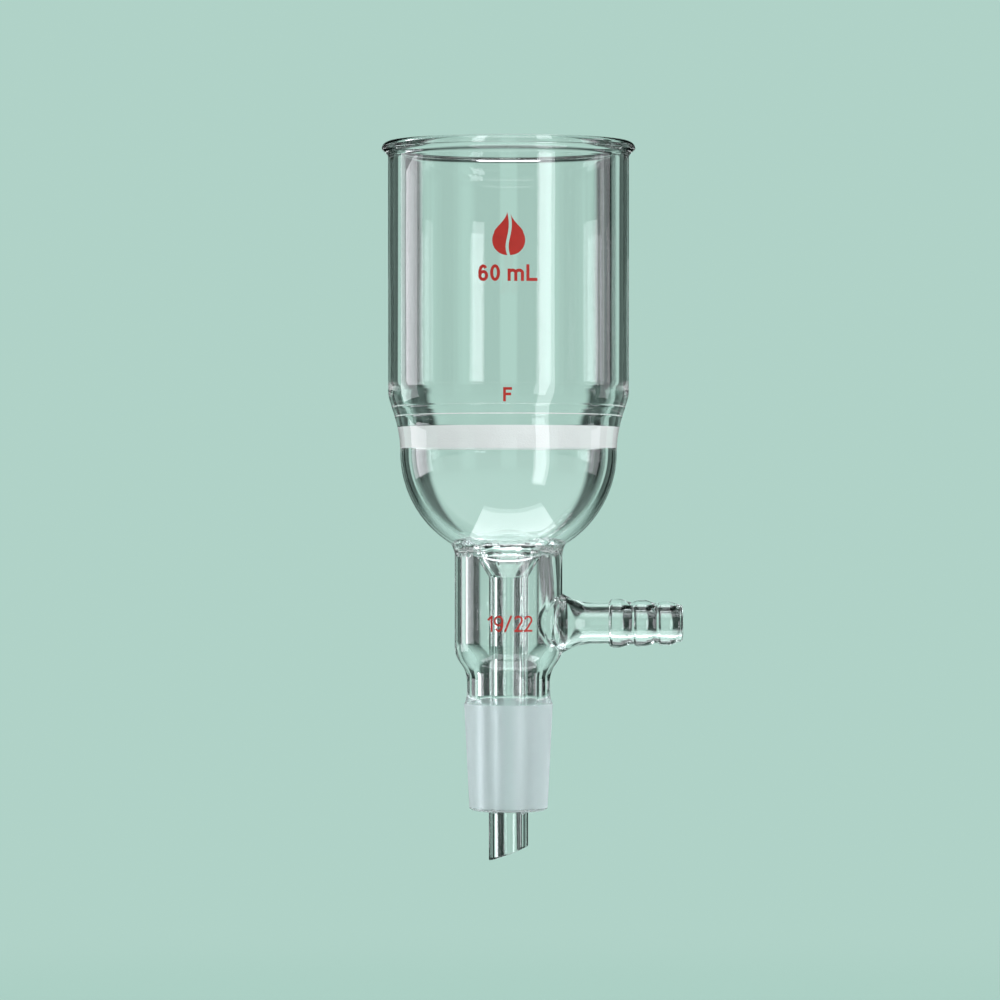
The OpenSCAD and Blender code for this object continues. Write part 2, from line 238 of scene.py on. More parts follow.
def turned(name, runs, steps, matrix=None, sharp=SHARP):
    """A closed solid turned round +Z from runs of (material slot, outline)."""
    bm = bmesh.new()
    for slot, outline in runs:
        before = set(bm.faces)
        verts = [bm.verts.new((r, 0, z)) for r, z in outline]
        edges = [bm.edges.new(pair) for pair in zip(verts, verts[1:])]
        bmesh.ops.spin(
            bm, geom=verts + edges, cent=(0, 0, 0), axis=(0, 0, 1), dvec=(0, 0, 0),
            angle=math.tau, space=Matrix.Identity(4), steps=steps,
            use_merge=True, use_normal_flip=False, use_duplicate=False)
        for face in bm.faces:
            if face not in before:
                face.material_index = slot
    bmesh.ops.remove_doubles(bm, verts=bm.verts, dist=2e-7)
    bmesh.ops.dissolve_degenerate(bm, edges=bm.edges, dist=1e-8)
    bmesh.ops.recalc_face_normals(bm, faces=bm.faces)
    if matrix is not None:
        bmesh.ops.transform(bm, matrix=matrix, space=Matrix.Identity(4), verts=bm.verts)
    return piece(name, bm, sharp)


def piece(name, bm, sharp=SHARP):
    mesh = bpy.data.meshes.new(name)
    bm.to_mesh(mesh)
    bm.free()
    obj = bpy.data.objects.new(name, mesh)
    bpy.context.scene.collection.objects.link(obj)
    smooth(obj, sharp)
    return obj


def smooth(obj, sharp=SHARP):
    obj.data.shade_smooth()
    obj.data.set_sharp_from_angle(angle=math.radians(sharp))


def along_arm():
    return Matrix.Translation((0, 0, ARM_Z)) @ Matrix.Rotation(math.pi / 2, 4, "Y")


def trim(obj, tool):
    """Cuts the tool's solid out of a piece. The new faces keep the tool's material slot."""
    modifier = obj.modifiers.new("trim", "BOOLEAN")
    modifier.operation = "DIFFERENCE"
    modifier.solver = "EXACT"
    modifier.object = tool
    seen = bpy.context.evaluated_depsgraph_get()
    mesh = bpy.data.meshes.new_from_object(obj.evaluated_get(seen))
    obj.modifiers.clear()
    obj.data = mesh
    bpy.data.objects.remove(tool)


def install(obj, materials, node):
    """Gives a finished piece its materials and its place on the frame."""
    for material in materials:
        obj.data.materials.append(material)
    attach(obj, BODY)
    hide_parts(node)


# ---- Shader nodes ----


def feed(tree, value, socket):
    """Sets an input to a plain value, or links it to another node's output."""
    if isinstance(value, bpy.types.NodeSocket):
        tree.links.new(value, socket)
    else:
        socket.default_value = value


def calc(tree, operation, *values):
    """One step of maths on numbers and outputs."""
    node = tree.nodes.new("ShaderNodeMath")
    node.operation = operation
    for value, socket in zip(values, node.inputs):
        feed(tree, value, socket)
    return node.outputs[0]


def eased(tree, value, x0, x1, y0, y1):
    """Goes softly from y0 to y1 while the value goes from x0 to x1."""
    node = tree.nodes.new("ShaderNodeMapRange")
    node.interpolation_type = "SMOOTHSTEP"
    tree.links.new(value, node.inputs["Value"])
    for label, number in (("From Min", x0), ("From Max", x1), ("To Min", y0), ("To Max", y1)):
        node.inputs[label].default_value = number
    return node.outputs["Result"]


def blended(tree, kind, factor, first, second):
    """A mix of two numbers or of two colours."""
    first_socket, result = {"FLOAT": (2, 0), "RGBA": (6, 2)}[kind]
    node = tree.nodes.new("ShaderNodeMix")
    node.data_type = kind
    tree.links.new(factor, node.inputs[0])
    feed(tree, first, node.inputs[first_socket])
    feed(tree, second, node.inputs[first_socket + 1])
    return node.outputs[result]


def blended_surface(tree, factor, first, second):
    """Ends a material in a mix of two shader nodes."""
    mix = tree.nodes.new("ShaderNodeMixShader")
    for source, socket in zip((factor, first.outputs[0], second.outputs[0]), mix.inputs):
        tree.links.new(source, socket)
    tree.links.new(mix.outputs[0], tree.nodes["Material Output"].inputs["Surface"])


def axes_of(tree, vector):
    """The X, Y and Z of a vector."""
    split = tree.nodes.new("ShaderNodeSeparateXYZ")
    tree.links.new(vector, split.inputs[0])
    return [split.outputs[axis] for axis in "XYZ"]


def noise_of(tree, vector, size, detail):
    """Noise in features of about one size."""
    texture = tree.nodes.new("ShaderNodeTexNoise")
    texture.inputs["Detail"].default_value = detail
    tree.links.new(vector, texture.inputs["Vector"])
    tree.links.new(calc(tree, "DIVIDE", 1, size), texture.inputs["Scale"])
    return texture.outputs["Fac"]


def new_group(name, inputs, outputs):
    """An empty node group with float sockets."""
    group = bpy.data.node_groups.new(name, "ShaderNodeTree")
    for label, default in inputs:
        socket = group.interface.new_socket(
            name=label, in_out="INPUT", socket_type="NodeSocketFloat")
        socket.default_value = default
    for label in outputs:
        group.interface.new_socket(name=label, in_out="OUTPUT", socket_type="NodeSocketFloat")
    return group, group.nodes.new("NodeGroupInput"), group.nodes.new("NodeGroupOutput")


def fine_grain():
    """Even small grains with wider clouds over them, as on ground or sintered glass."""
    name = "fine grain"
    if name in bpy.data.node_groups:
        return bpy.data.node_groups[name]
    group, inside, out = new_group(
        name, (("Size", 0.0004), ("Cloud size", 0.004)), ("Grain", "Cloud"))
    place = group.nodes.new("ShaderNodeTexCoord")
    for size, detail, output in (("Size", 2, "Grain"), ("Cloud size", 3, "Cloud")):
        texture = noise_of(group, place.outputs["Object"], inside.outputs[size], detail)
        group.links.new(texture, out.inputs[output])
    return group


def drawn_waves():
    """The slow ripple of drawn and flame-worked glass: a height."""
    name = "drawn waves"
    if name in bpy.data.node_groups:
        return bpy.data.node_groups[name]
    group, inside, out = new_group(name, (("Width", 0.012), ("Stretch", 0.3)), ("Height",))
    place = group.nodes.new("ShaderNodeTexCoord")
    x, y, z = axes_of(group, place.outputs["Object"])
    drawn = calc(group, "MULTIPLY", z, inside.outputs["Stretch"])
    join = group.nodes.new("ShaderNodeCombineXYZ")
    for value, socket in zip((x, y, drawn), join.inputs):
        group.links.new(value, socket)
    texture = noise_of(group, join.outputs[0], inside.outputs["Width"], 1)
    group.links.new(texture, out.inputs["Height"])
    return group


# ---- Materials ----

GLASS_IOR = 1.473
WAVE_DEPTH = 0.001
CLEAR_SHARE, GROUND_SHARE = 0.93, 0.7  # how much of a lamp's light passes one surface


def new_material(name):
    """A material with its node tree and its shader."""
    material = bpy.data.materials.new(name)
    material.use_nodes = True
    return material, material.node_tree, material.node_tree.nodes["Principled BSDF"]


def placed_group(tree, group, **values):
    node = tree.nodes.new("ShaderNodeGroup")
    node.node_tree = group
    for label, value in values.items():
        node.inputs[label.replace("_", " ").capitalize()].default_value = value
    return node


def relief(tree, shader, height, strength, depth):
    bump = tree.nodes.new("ShaderNodeBump")
    bump.inputs["Strength"].default_value = strength
    bump.inputs["Distance"].default_value = depth
    tree.links.new(height, bump.inputs["Height"])
    tree.links.new(bump.outputs["Normal"], shader.inputs["Normal"])


def lit_through(tree, shader, share):
    """Lets lamps shine through the glass on to what is inside and behind it."""
    path = tree.nodes.new("ShaderNodeLightPath")
    clear = tree.nodes.new("ShaderNodeBsdfTransparent")
    clear.inputs["Color"].default_value = (share, share, share, 1)
    blended_surface(tree, path.outputs["Is Shadow Ray"], shader, clear)


def glass_material(settings, name="clear glass", wave=0.012, strength=0.05):
    """Clear glass with a slow ripple of a given width and strength."""
    if name in bpy.data.materials:
        return bpy.data.materials[name]
    material, tree, shader = new_material(name)
    shader.inputs["Base Color"].default_value = (*settings.tint, 1)
    shader.inputs["Transmission Weight"].default_value = 1
    shader.inputs["Roughness"].default_value = 0
    shader.inputs["IOR"].default_value = GLASS_IOR
    waves = placed_group(tree, drawn_waves(), width=wave)
    relief(tree, shader, waves.outputs["Height"], strength, WAVE_DEPTH)
    lit_through(tree, shader, CLEAR_SHARE)
    return material


def fused_material():
    """Where two pieces are melted into one, light passes straight from glass to glass."""
    name = "fused seam"
    if name in bpy.data.materials:
        return bpy.data.materials[name]
    material, _, shader = new_material(name)
    shader.inputs["Base Color"].default_value = (1, 1, 1, 1)
    shader.inputs["Alpha"].default_value = 0
    return material


def body_glass(settings):
    return glass_material(settings), fused_material()


def grainy_material(name, colour, shades, size, cloud_size, roughness, strength, depth):
    """A fine-grained material in a colour that drifts between two shades of it."""
    material, tree, shader = new_material(name)
    grain = placed_group(tree, fine_grain(), size=size, cloud_size=cloud_size)
    darker, lighter = ((*(Vector(colour) * shade), 1) for shade in shades)
    clouded = blended(tree, "RGBA", grain.outputs["Cloud"], darker, lighter)
    tree.links.new(clouded, shader.inputs["Base Color"])
    shader.inputs["Roughness"].default_value = roughness
    relief(tree, shader, grain.outputs["Grain"], strength, depth)
    return material, tree, shader


def ground_material(settings):
    material, tree, shader = grainy_material(
        "ground glass", settings.ground_tint, shades=(0.95, 1), size=0.00022, cloud_size=0.003,
        roughness=settings.ground_roughness, strength=0.35, depth=0.00008)
    shader.inputs["Transmission Weight"].default_value = 0.72
    shader.inputs["IOR"].default_value = GLASS_IOR
    lit_through(tree, shader, GROUND_SHARE)
    return material


def sintered_material(settings):
    material, _, _ = grainy_material(
        "sintered glass", settings.disc_colour, shades=(0.95, 1.03), size=0.00032,
        cloud_size=0.0025, roughness=0.85, strength=0.5, depth=0.00012)
    return material


def enamel_material(settings):
    material, _, shader = grainy_material(
        "fired enamel", settings.enamel_colour, shades=(0.85, 1.15), size=0.00025,
        cloud_size=0.0012, roughness=0.5, strength=0.25, depth=0.00005)
    shader.inputs["Specular IOR Level"].default_value = 0.35
    return material


# ---- Bowl ----


def collar_outline():
    """Outside of the collar, from the round bottom up to the barrel."""
    rise = COLLAR_TOP - DOME_Z
    return bezier((DOME_R, DOME_Z), (DOME_R, DOME_Z + rise * 0.49),
                  (BARREL_R, COLLAR_TOP - rise * 0.2), (BARREL_R, COLLAR_TOP), 24)


def shelf_outline(disc_top):
    """Inside of the collar from the barrel down to the disc, with two faint ridges."""
    reach = (COLLAR_TOP - disc_top) / 3
    points = bezier((SHELF_R, COLLAR_TOP), (SHELF_R - SHELF_SLOPE * reach, COLLAR_TOP - reach),
                    (DISC_R + 0.2 * reach, disc_top + reach), (DISC_R, disc_top), 60)
    ridge, spread = 0.00005, 0.00016
    for height in (disc_top + 0.0023, disc_top + 0.0043):
        points = [(r - ridge * math.exp(-((z - height) / spread)**2), z) for r, z in points]
    return points


class FUNNEL_OT_bowl_barrel(bpy.types.Operator):
    """Make the straight barrel with its flared and beaded rim"""
    bl_idname = "funnel.bowl_barrel"
    bl_label = "Bowl Barrel"

    def execute(self, context):
        settings = context.scene.funnel_glass
        rim_r, rim_top = high("bowl_barrel").x, high("bowl_barrel").z
        bead_h, flare_h = 0.0017, 0.002
        ease, pull = 0.0026, 0.0009  # height of the bore's curve into the collar, and its handles
        bead_z = rim_top - bead_h
        flare_z = bead_z - flare_h
        half = (rim_r - BARREL_BORE_R) / 2
        crown_r = rim_r - half
        runs = [
            (CLEAR, [(BARREL_R, COLLAR_TOP), (BARREL_R, (COLLAR_TOP + flare_z) / 2)]
             + bezier((BARREL_R, flare_z), (BARREL_R, flare_z + flare_h / 2),
                      (rim_r, bead_z - flare_h / 3), (rim_r, bead_z), 20)
             + arc((crown_r, bead_z), half, bead_h, 0, 180, 40)[1:]
             + [(BARREL_BORE_R, (COLLAR_TOP + bead_z) / 2)]
             + bezier((BARREL_BORE_R, COLLAR_TOP + ease), (BARREL_BORE_R, COLLAR_TOP + ease - pull),
                      (SHELF_R + SHELF_SLOPE * pull, COLLAR_TOP + pull), (SHELF_R, COLLAR_TOP),
                      12)),
            (FUSED, [(SHELF_R, COLLAR_TOP), (BARREL_R, COLLAR_TOP)]),
        ]
        obj = turned("beaded_barrel", runs, settings.turn_steps)
        install(obj, body_glass(settings), "bowl_barrel")
        return {"FINISHED"}


class FUNNEL_OT_disc_collar(bpy.types.Operator):
    """Make the collar of glass that is shrunk on to the sintered disc"""
    bl_idname = "funnel.disc_collar"
    bl_label = "Disc Collar"

    def execute(self, context):
        settings = context.scene.funnel_glass
        disc_low, disc_top = low("frit_disc").z, high("frit_disc").z
        inner = DOME_R - settings.dome_wall
        runs = [
            (FUSED, [(inner, DOME_Z), (DOME_R, DOME_Z)]),
            (CLEAR, collar_outline()),
            (FUSED, [(BARREL_R, COLLAR_TOP), (SHELF_R, COLLAR_TOP)]),
            (CLEAR, shelf_outline(disc_top)),
            (FUSED, [(DISC_R, disc_top), (DISC_R, disc_low)]),
            (CLEAR, [(DISC_R, disc_low), (inner, disc_low), (inner, DOME_Z)]),
        ]
        obj = turned("disc_collar_glass", runs, settings.turn_steps)
        install(obj, body_glass(settings), "disc_collar")
        return {"FINISHED"}


class FUNNEL_OT_sintered_disc(bpy.types.Operator):
    """Make the white sintered disc, with its slightly uneven faces"""
    bl_idname = "funnel.sintered_disc"
    bl_label = "Sintered Disc"

    def execute(self, context):
        play = 0.00001  # keeps the disc's skin off the collar's
        dip, grain_rate = 0.00012, 900
        radius = DISC_R - play
        z0, z1 = low("frit_disc").z, high("frit_disc").z
        rings, bands = 40, 6
        outline = [(radius * i / rings, z1) for i in range(rings + 1)]
        outline += [(radius, z1 + (z0 - z1) * i / bands) for i in range(1, bands)]
        outline += [(radius * i / rings, z0) for i in range(rings, -1, -1)]
        obj = turned("sintered_disc", [(CLEAR, outline)], 120)
        middle = (z0 + z1) / 2
        for vert in obj.data.vertices:
            co = vert.co
            if abs(co.z - middle) > (z1 - z0) * 0.45:
                share = 0.5 + 0.5 * noise.noise(Vector((co.x, co.y, co.z * 3)) * grain_rate)
                co.z -= math.copysign(dip * share, co.z - middle)
        obj.data.update()
        smooth(obj, 50)
        material = sintered_material(context.scene.funnel_finish)
        install(obj, (material,), "frit_disc")
        return {"FINISHED"}


class FUNNEL_OT_bowl_dome(bpy.types.Operator):
    """Make the round bottom and its outlet cone"""
    bl_idname = "funnel.bowl_dome"
    bl_label = "Bowl Dome"

    def execute(self, context):
        settings = context.scene.funnel_glass
        inner = DOME_R - settings.dome_wall
        wall = STEM_R - STEM_BORE_R
        z0 = low("bowl_dome").z
        outlet_z = z0 + settings.outlet_height
        throat_r = settings.outlet_radius - wall
        inner_jacket = JACKET_R - settings.jacket_wall
        hole_z = dome_height(inner, throat_r)
        runs = [
            (FUSED, [(inner, DOME_Z), (DOME_R, DOME_Z)]),
            (CLEAR, dome_arc(DOME_R, DOME_R, SEAL_R, 34)),
            (FUSED, dome_arc(DOME_R, SEAL_R, inner_jacket, 8)),
            (CLEAR, dome_arc(DOME_R, inner_jacket, settings.outlet_radius, 8)
             + [(settings.outlet_radius, outlet_z), (STEM_R, z0)]),
            (FUSED, [(STEM_R, z0), (STEM_BORE_R, z0)]),
            (CLEAR, [(STEM_BORE_R, z0), (throat_r, outlet_z), (throat_r, hole_z)]
             + dome_arc(inner, inner, throat_r, 44)[::-1]),
        ]
        obj = turned("round_bottom", runs, settings.turn_steps)
        install(obj, body_glass(settings), "bowl_dome")
        return {"FINISHED"}


class FUNNEL_OT_ring_seal(bpy.types.Operator):
    """Make the ring of glass that seals the jacket to the round bottom"""
    bl_idname = "funnel.ring_seal"
    bl_label = "Ring Seal"

    def execute(self, context):
        settings = context.scene.funnel_glass
        inner = JACKET_R - settings.jacket_wall
        height = dome_height(DOME_R, JACKET_R) - JACKET_TOP
        spread = SEAL_R - JACKET_R
        top_z = dome_height(DOME_R, SEAL_R)
        runs = [
            (FUSED, [(inner, JACKET_TOP), (JACKET_R, JACKET_TOP)]),
            (CLEAR, bezier((JACKET_R, JACKET_TOP), (JACKET_R, JACKET_TOP + height / 2),
                           (SEAL_R - spread / 2, top_z - spread / 2), (SEAL_R, top_z), 12)),
            (FUSED, dome_arc(DOME_R, SEAL_R, inner, 8)),
            (CLEAR, [(inner, dome_height(DOME_R, inner)), (inner, JACKET_TOP)]),
        ]
        obj = turned("jacket_ring_seal", runs, settings.turn_steps)
        glass = glass_material(settings, "worked glass", 0.0016, 0.45)
        install(obj, (glass, fused_material()), "ring_seal")
        return {"FINISHED"}


class FUNNEL_OT_drip_stem(bpy.types.Operator):
    """Make the stem tube with its slanted, fire-polished tip"""
    bl_idname = "funnel.drip_stem"
    bl_label = "Drip Stem"

    def execute(self, context):
        settings = context.scene.funnel_glass
        z0, z1 = low("drip_stem").z, high("drip_stem").z
        slant = math.radians(20.5)
        lip_offset = 0.00022
        under = z0 - 0.001  # the tube starts lower, and the slanted cut takes the rest away
        runs = [
            (CLEAR, [(STEM_R, under), (STEM_R, 0), (STEM_R, z1)]),
            (FUSED, [(STEM_R, z1), (STEM_BORE_R, z1)]),
            (CLEAR, [(STEM_BORE_R, z1), (STEM_BORE_R, 0), (STEM_BORE_R, under)]),
        ]
        obj = turned("slant_tip_stem", runs, settings.turn_steps)
        bm = bmesh.new()
        bm.from_mesh(obj.data)
        cut = bmesh.ops.bisect_plane(
            bm, geom=bm.verts[:] + bm.edges[:] + bm.faces[:], dist=1e-7,
            plane_co=(-STEM_R, 0, z0), plane_no=(math.sin(slant), 0, -math.cos(slant)),
            clear_outer=True)
        rims = [g for g in cut["geom_cut"] if isinstance(g, bmesh.types.BMEdge)]
        bridge = bmesh.ops.bridge_loops(bm, edges=rims)
        for face in bridge["faces"]:
            face.material_index = CLEAR
        bmesh.ops.recalc_face_normals(bm, faces=bm.faces)
        lip = {e for f in bridge["faces"] for e in f.edges
               if any(g not in bridge["faces"] for g in e.link_faces)}
        bmesh.ops.bevel(
            bm, geom=list(lip), offset=lip_offset, offset_type="OFFSET", segments=4,
            profile=0.5, affect="EDGES", material=-1, clamp_overlap=True)
        bm.to_mesh(obj.data)
        bm.free()
        smooth(obj, 42)
        install(obj, body_glass(settings), "drip_stem")
        return {"FINISHED"}


# ---- Vacuum jacket, joint and side arm ----


def shoulder(from_r, to_r, start, end):
    """An even S curve between two radii and heights."""
    middle = (start + end) / 2
    return bezier((from_r, start), (from_r, middle), (to_r, middle), (to_r, end), 24)


def jacket_core():
    """A long solid just inside the jacket's skin, that shapes the seam of the side arm."""
    radius, under, over = JACKET_R - 0.00005, -0.02, 0.06
    outline = [(0, under), (radius, under), (radius, over), (0, over)]
    return turned("core", [(FUSED, outline)], 144)


def flare_outline(arm):
    """Foot inside the jacket's wall, end of the flare along the arm, and the curve between."""
    end = JACKET_R + arm.flare_reach
    foot = math.sqrt(JACKET_R**2 - arm.flare_radius**2) - 0.0004
    curve = bezier((arm.flare_radius, foot), (arm.shank_radius + 0.0022, JACKET_R + 0.0002),
                   (arm.shank_radius + 0.00015, JACKET_R + 0.0018), (arm.shank_radius, end), 24)
    return foot, end, curve


def blown_hole(radius, inner):
    """Tool that opens the jacket into the side arm, with a mouth that follows the round wall."""
    blend, first, steps = 0.0017, math.radians(22), 12  # the mouth's curve
    around, beyond = ARM_STEPS, 0.001
    bm = bmesh.new()
    rings = []

    def add_ring(r, advance, flat=None):
        ring = []
        for i in range(around):
            turn = math.tau * i / around
            y = r * math.cos(turn)
            x = flat if flat else math.sqrt(inner**2 - y**2) + advance
            ring.append(bm.verts.new((x, y, ARM_Z + r * math.sin(turn))))
        rings.append(ring)

    settle = blend * (1 - math.cos(first)) + 0.00002
    add_ring(radius + blend * (1 - math.sin(first)), -beyond)
    for k in range(steps + 1):
        phi = first + (math.pi / 2 - first) * k / steps
        add_ring(radius + blend * (1 - math.sin(phi)), blend * (1 - math.cos(phi)) - settle)
    add_ring(radius, 0, JACKET_R + beyond)
    for ring, following in zip(rings, rings[1:]):
        for i in range(around):
            j = (i + 1) % around
            bm.faces.new((ring[i], ring[j], following[j], following[i]))
    start = bm.verts.new((inner - beyond, 0, ARM_Z))
    for i in range(around):
        bm.faces.new((rings[0][(i + 1) % around], rings[0][i], start))
    bm.faces.new(rings[-1])
    bmesh.ops.recalc_face_normals(bm, faces=bm.faces)
    return piece("hole", bm)


class FUNNEL_OT_vacuum_jacket(bpy.types.Operator):
    """Make the vacuum jacket, with the blown hole for the side arm"""
    bl_idname = "funnel.vacuum_jacket"
    bl_label = "Vacuum Jacket"

    def execute(self, context):
        settings, arm = context.scene.funnel_glass, context.scene.funnel_arm
        inner = JACKET_R - settings.jacket_wall
        drop = settings.jacket_wall / 2
        bore = settings.joint_bore_radius
        top = NECK_TOP + settings.shoulder_height
        runs = [
            (CLEAR, shoulder(settings.neck_radius, JACKET_R, NECK_TOP, top)
             + [(JACKET_R, JACKET_TOP)]),
            (FUSED, [(JACKET_R, JACKET_TOP), (inner, JACKET_TOP)]),
            (CLEAR, [(inner, JACKET_TOP)]
             + shoulder(inner, bore, top + drop, NECK_TOP + drop) + [(bore, NECK_TOP)]),
            (FUSED, [(bore, NECK_TOP), (settings.neck_radius, NECK_TOP)]),
        ]
        obj = turned("jacket_tube", runs, settings.turn_steps)
        foot, end, curve = flare_outline(arm)
        outline = [(0, foot)] + curve + [(0, end)]
        foot_solid = turned("foot", [(FUSED, outline)], ARM_STEPS, along_arm())
        trim(foot_solid, jacket_core())
        trim(obj, foot_solid)
        trim(obj, blown_hole(arm.hole_radius, inner))
        smooth(obj)
        install(obj, body_glass(settings), "vacuum_jacket")
        return {"FINISHED"}


class FUNNEL_OT_side_arm(bpy.types.Operator):
    """Make the side arm, flared where it is fused to the jacket"""
    bl_idname = "funnel.side_arm"
    bl_label = "Side Arm"

    def execute(self, context):
        settings, arm = context.scene.funnel_glass, context.scene.funnel_arm
        foot, end, curve = flare_outline(arm)
        hole = arm.hole_radius
        runs = [
            (FUSED, [(hole, foot), (arm.flare_radius, foot)]),
            (CLEAR, curve + [(arm.shank_radius, NOZZLE_START)]),
            (FUSED, [(arm.shank_radius, NOZZLE_START), (ARM_BORE_R, NOZZLE_START)]),
            (CLEAR, [(ARM_BORE_R, NOZZLE_START)]
             + bezier((ARM_BORE_R, end - 0.0006), (ARM_BORE_R, JACKET_R + arm.flare_reach / 2),
                      (hole, JACKET_R + arm.flare_reach / 5), (hole, JACKET_R), 20)
             + [(hole, foot)]),
        ]
        obj = turned("flared_side_arm", runs, ARM_STEPS, along_arm())
        trim(obj, jacket_core())
        smooth(obj)
        install(obj, body_glass(settings), "side_arm")
        return {"FINISHED"}


class FUNNEL_OT_hose_nozzle(bpy.types.Operator):
    """Make the barbed nozzle for the vacuum hose"""
    bl_idname = "funnel.hose_nozzle"
    bl_label = "Hose Nozzle"

    def execute(self, context):
        settings, arm = context.scene.funnel_glass, context.scene.funnel_arm
        pitch = (NOZZLE_END - NOZZLE_START) / arm.barbs
        rounding = 0.0006  # of the outer edge at the nozzle's end
        outline = []
        for i in range(arm.barbs):
            start = NOZZLE_START + i * pitch
            ridge = arm.barb_radius - i * arm.barb_step
            tail = ridge - arm.barb_fall
            root = arm.shank_radius if i == 0 else ridge - arm.barb_fall * 2 / 3
            end = start + pitch - (rounding if i == arm.barbs - 1 else 0)
            outline += bezier((root, start), (ridge, start + pitch / 20),
                              (ridge, start + pitch / 8), (ridge, start + pitch / 4), 12)
            outline += bezier((ridge, start + pitch * 0.4), (ridge, start + pitch * 0.6),
                              (tail, start + pitch * 0.75), (tail, end), 12)
        outline += bezier((tail, NOZZLE_END - rounding), (tail, NOZZLE_END - rounding / 3),
                          (tail - rounding / 3, NOZZLE_END), (tail - rounding, NOZZLE_END), 8)[1:]
        inner_round = bezier((ARM_BORE_R + 0.0002, NOZZLE_END), (ARM_BORE_R + 0.00008, NOZZLE_END),
                             (ARM_BORE_R, NOZZLE_END - 0.0001),
                             (ARM_BORE_R, NOZZLE_END - 0.0003), 5)
        runs = [
            (CLEAR, outline + inner_round + [(ARM_BORE_R, NOZZLE_START)]),
            (FUSED, [(ARM_BORE_R, NOZZLE_START), (arm.shank_radius, NOZZLE_START)]),
        ]
        obj = turned("barbed_nozzle", runs, ARM_STEPS, along_arm(), sharp=50)
        glass = glass_material(settings, "moulded glass", 0.004, 0.3)
        install(obj, (glass, fused_material()), "hose_nozzle")
        return {"FINISHED"}


class FUNNEL_OT_ground_cone(bpy.types.Operator):
    """Make the ground taper cone with its clear neck and clear bevelled end"""
    bl_idname = "funnel.ground_cone"
    bl_label = "Ground Cone"

    def execute(self, context):
        settings = context.scene.funnel_glass
        bore, neck = settings.joint_bore_radius, settings.neck_radius
        bottom = low("cone_joint").z
        small = CONE_R - CONE_LENGTH / 20  # a taper of 1 in 10 across the cone
        end_r = (small + bore) / 2
        end_h = -CONE_LENGTH - bottom
        fillet = NECK_TOP / 2
        runs = [
            (CLEAR, bezier((neck, NECK_TOP), (neck, NECK_TOP - fillet),
                           (neck, fillet / 3), (CONE_R, 0), 20)),
            (GROUND, [(CONE_R, 0), ((CONE_R + small) / 2, -CONE_LENGTH / 2),
                      (small, -CONE_LENGTH)]),
            (CLEAR, bezier((small, -CONE_LENGTH), (small, -CONE_LENGTH - end_h / 2),
                           (end_r + end_h / 2, bottom), (end_r, bottom), 10)
             + [(bore, bottom), (bore, -CONE_LENGTH / 2), (bore, NECK_TOP)]),
            (FUSED, [(bore, NECK_TOP), (neck, NECK_TOP)]),
        ]
        obj = turned("taper_cone", runs, settings.turn_steps, sharp=30)
        materials = (*body_glass(settings), ground_material(settings))
        install(obj, materials, "cone_joint")
        return {"FINISHED"}


class FUNNEL_OT_printed_marks(bpy.types.Operator):
    """Give the printed marks their fired enamel"""
    bl_idname = "funnel.printed_marks"
    bl_label = "Printed Marks"

    def execute(self, context):
        enamel = enamel_material(context.scene.funnel_finish)
        for name in MARKS:
            for slot in frame["nodes"][name].material_slots:
                slot.material = enamel
        return {"FINISHED"}


# ---- Stage ----

PANELS = 8  # darker panels round the room
MARGIN = 0.5  # between a whole number of bounces and the next

# Upright lamps: name, azimuth, distance, width, top, radiance
UPRIGHT_LAMPS = (
    ("strip right", 35.3, 0.28, 0.072, 0.123, 5.0),
    ("edge right", 104, 0.7, 0.18, 0.146, 1.8),
    ("edge left", -110, 0.7, 0.34, 0.146, 3.0),
)
LAMP_GAP = 0.012  # from the floor to the foot of an upright lamp
PANEL_GAP = 0.006  # from the floor to the low panel

CAMERA_X, CAMERA_Z, AIM_Z = -0.0018, 0.0567, 0.0431
SENSOR, LENS = 36, 187


def pale_room(colour):
    """A pale room. What glass bends or mirrors also has soft darker panels between the lamps."""
    world = bpy.data.worlds.new("pale room")
    bpy.context.scene.world = world
    world.use_nodes = True
    tree = world.node_tree
    background = tree.nodes["Background"]
    place = tree.nodes.new("ShaderNodeTexCoord")
    x, y, z = axes_of(tree, place.outputs["Generated"])
    turn = calc(tree, "ARCTAN2", y, x)
    panels = calc(tree, "COSINE", calc(tree, "MULTIPLY", turn, PANELS))
    dark_panels = eased(tree, panels, 0.18, 0.5, 0.02, 1.0)
    dark_ceiling = eased(tree, z, 0.2, 0.5, 1.0, 0.08)
    through_glass = calc(tree, "MULTIPLY", dark_panels, dark_ceiling)
    path = tree.nodes.new("ShaderNodeLightPath").outputs
    bent = calc(tree, "MAXIMUM", path["Is Glossy Ray"], path["Is Transmission Ray"])
    seen = blended(tree, "FLOAT", bent, 1.0, through_glass)
    lighting = calc(tree, "GREATER_THAN", path["Diffuse Depth"], MARGIN)
    strength = blended(tree, "FLOAT", lighting, seen, 0.9)
    shade = blended(tree, "RGBA", lighting, (*colour, 1), (1, 1, 1, 1))
    tree.links.new(strength, background.inputs["Strength"])
    tree.links.new(shade, background.inputs["Color"])


def soft_lamp(name, size, radiance, matrix):
    data = bpy.data.lights.new(name, "AREA")
    data.shape = "RECTANGLE"
    data.size, data.size_y = size
    data.energy = radiance * math.pi * size[0] * size[1]
    data.color = bpy.context.scene.funnel_stage.lamp_colour
    lamp = bpy.data.objects.new(name, data)
    bpy.context.scene.collection.objects.link(lamp)
    lamp.matrix_world = matrix
    lamp.visible_camera = False
    return lamp


